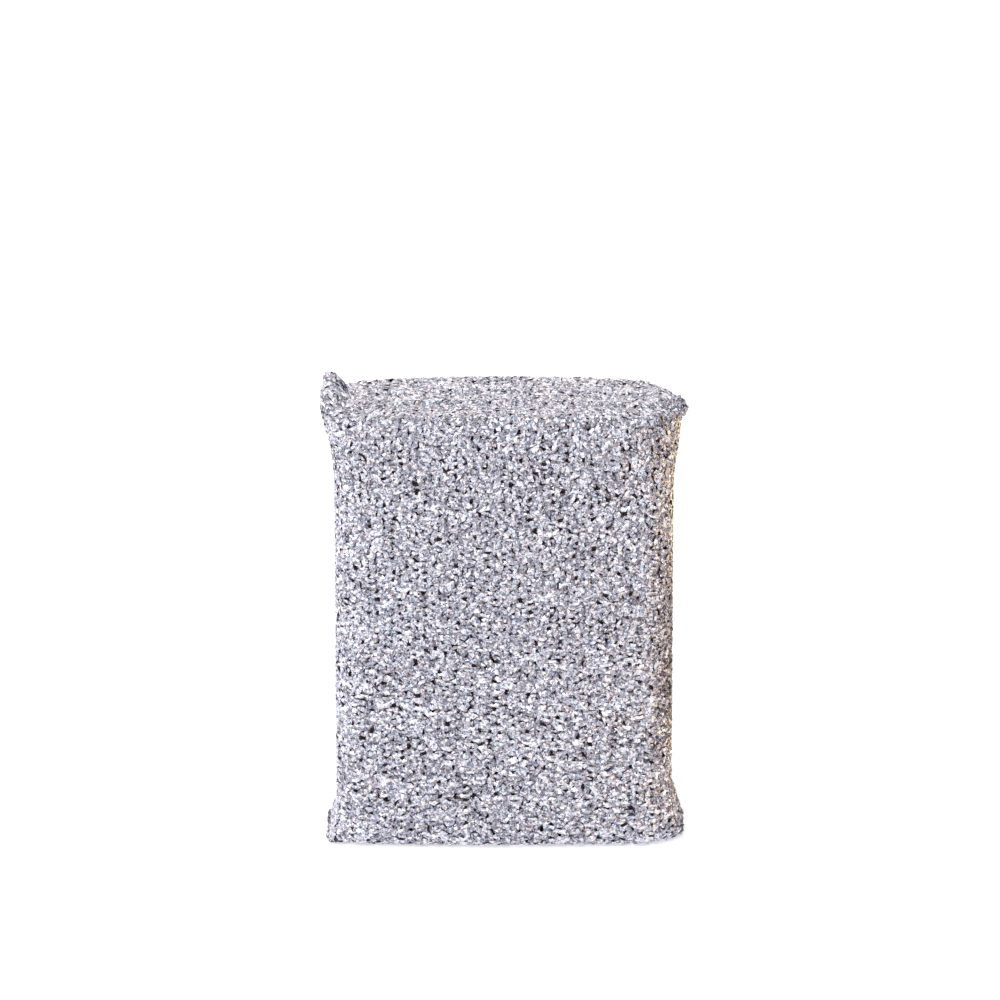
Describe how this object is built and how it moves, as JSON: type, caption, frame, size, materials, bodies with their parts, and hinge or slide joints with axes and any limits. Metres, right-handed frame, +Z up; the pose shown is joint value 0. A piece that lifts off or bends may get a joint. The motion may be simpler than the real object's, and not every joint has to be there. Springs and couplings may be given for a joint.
{
  "type": "scouring pad",
  "caption": "Brick-shaped foam scouring pad in a silver metallised knit sleeve, sewn shut along both short ends, with a small gathered ear at each corner",
  "frame": {"origin": "middle of the footprint, on the surface that the pad stands on", "axes": "+Z up, along the pad's height from its bottom seam to its top one; +X to the right across the front face; +Y from the front face to the back one"},
  "size_m": [0.0926, 0.03, 0.1246],
  "materials": {
    "metallised_knit": "flat metallised film tape, knitted, bright and faceted",
    "foam": "open-cell foam, matte",
    "sewing_thread": "plain silver-grey sewing thread"
  },
  "bodies": {
    "root": {"knit_sleeve": "metallised_knit", "foam_core": "foam", "top_seam_thread": "sewing_thread", "bottom_seam_thread": "sewing_thread"}
  },
  "joints": []
}
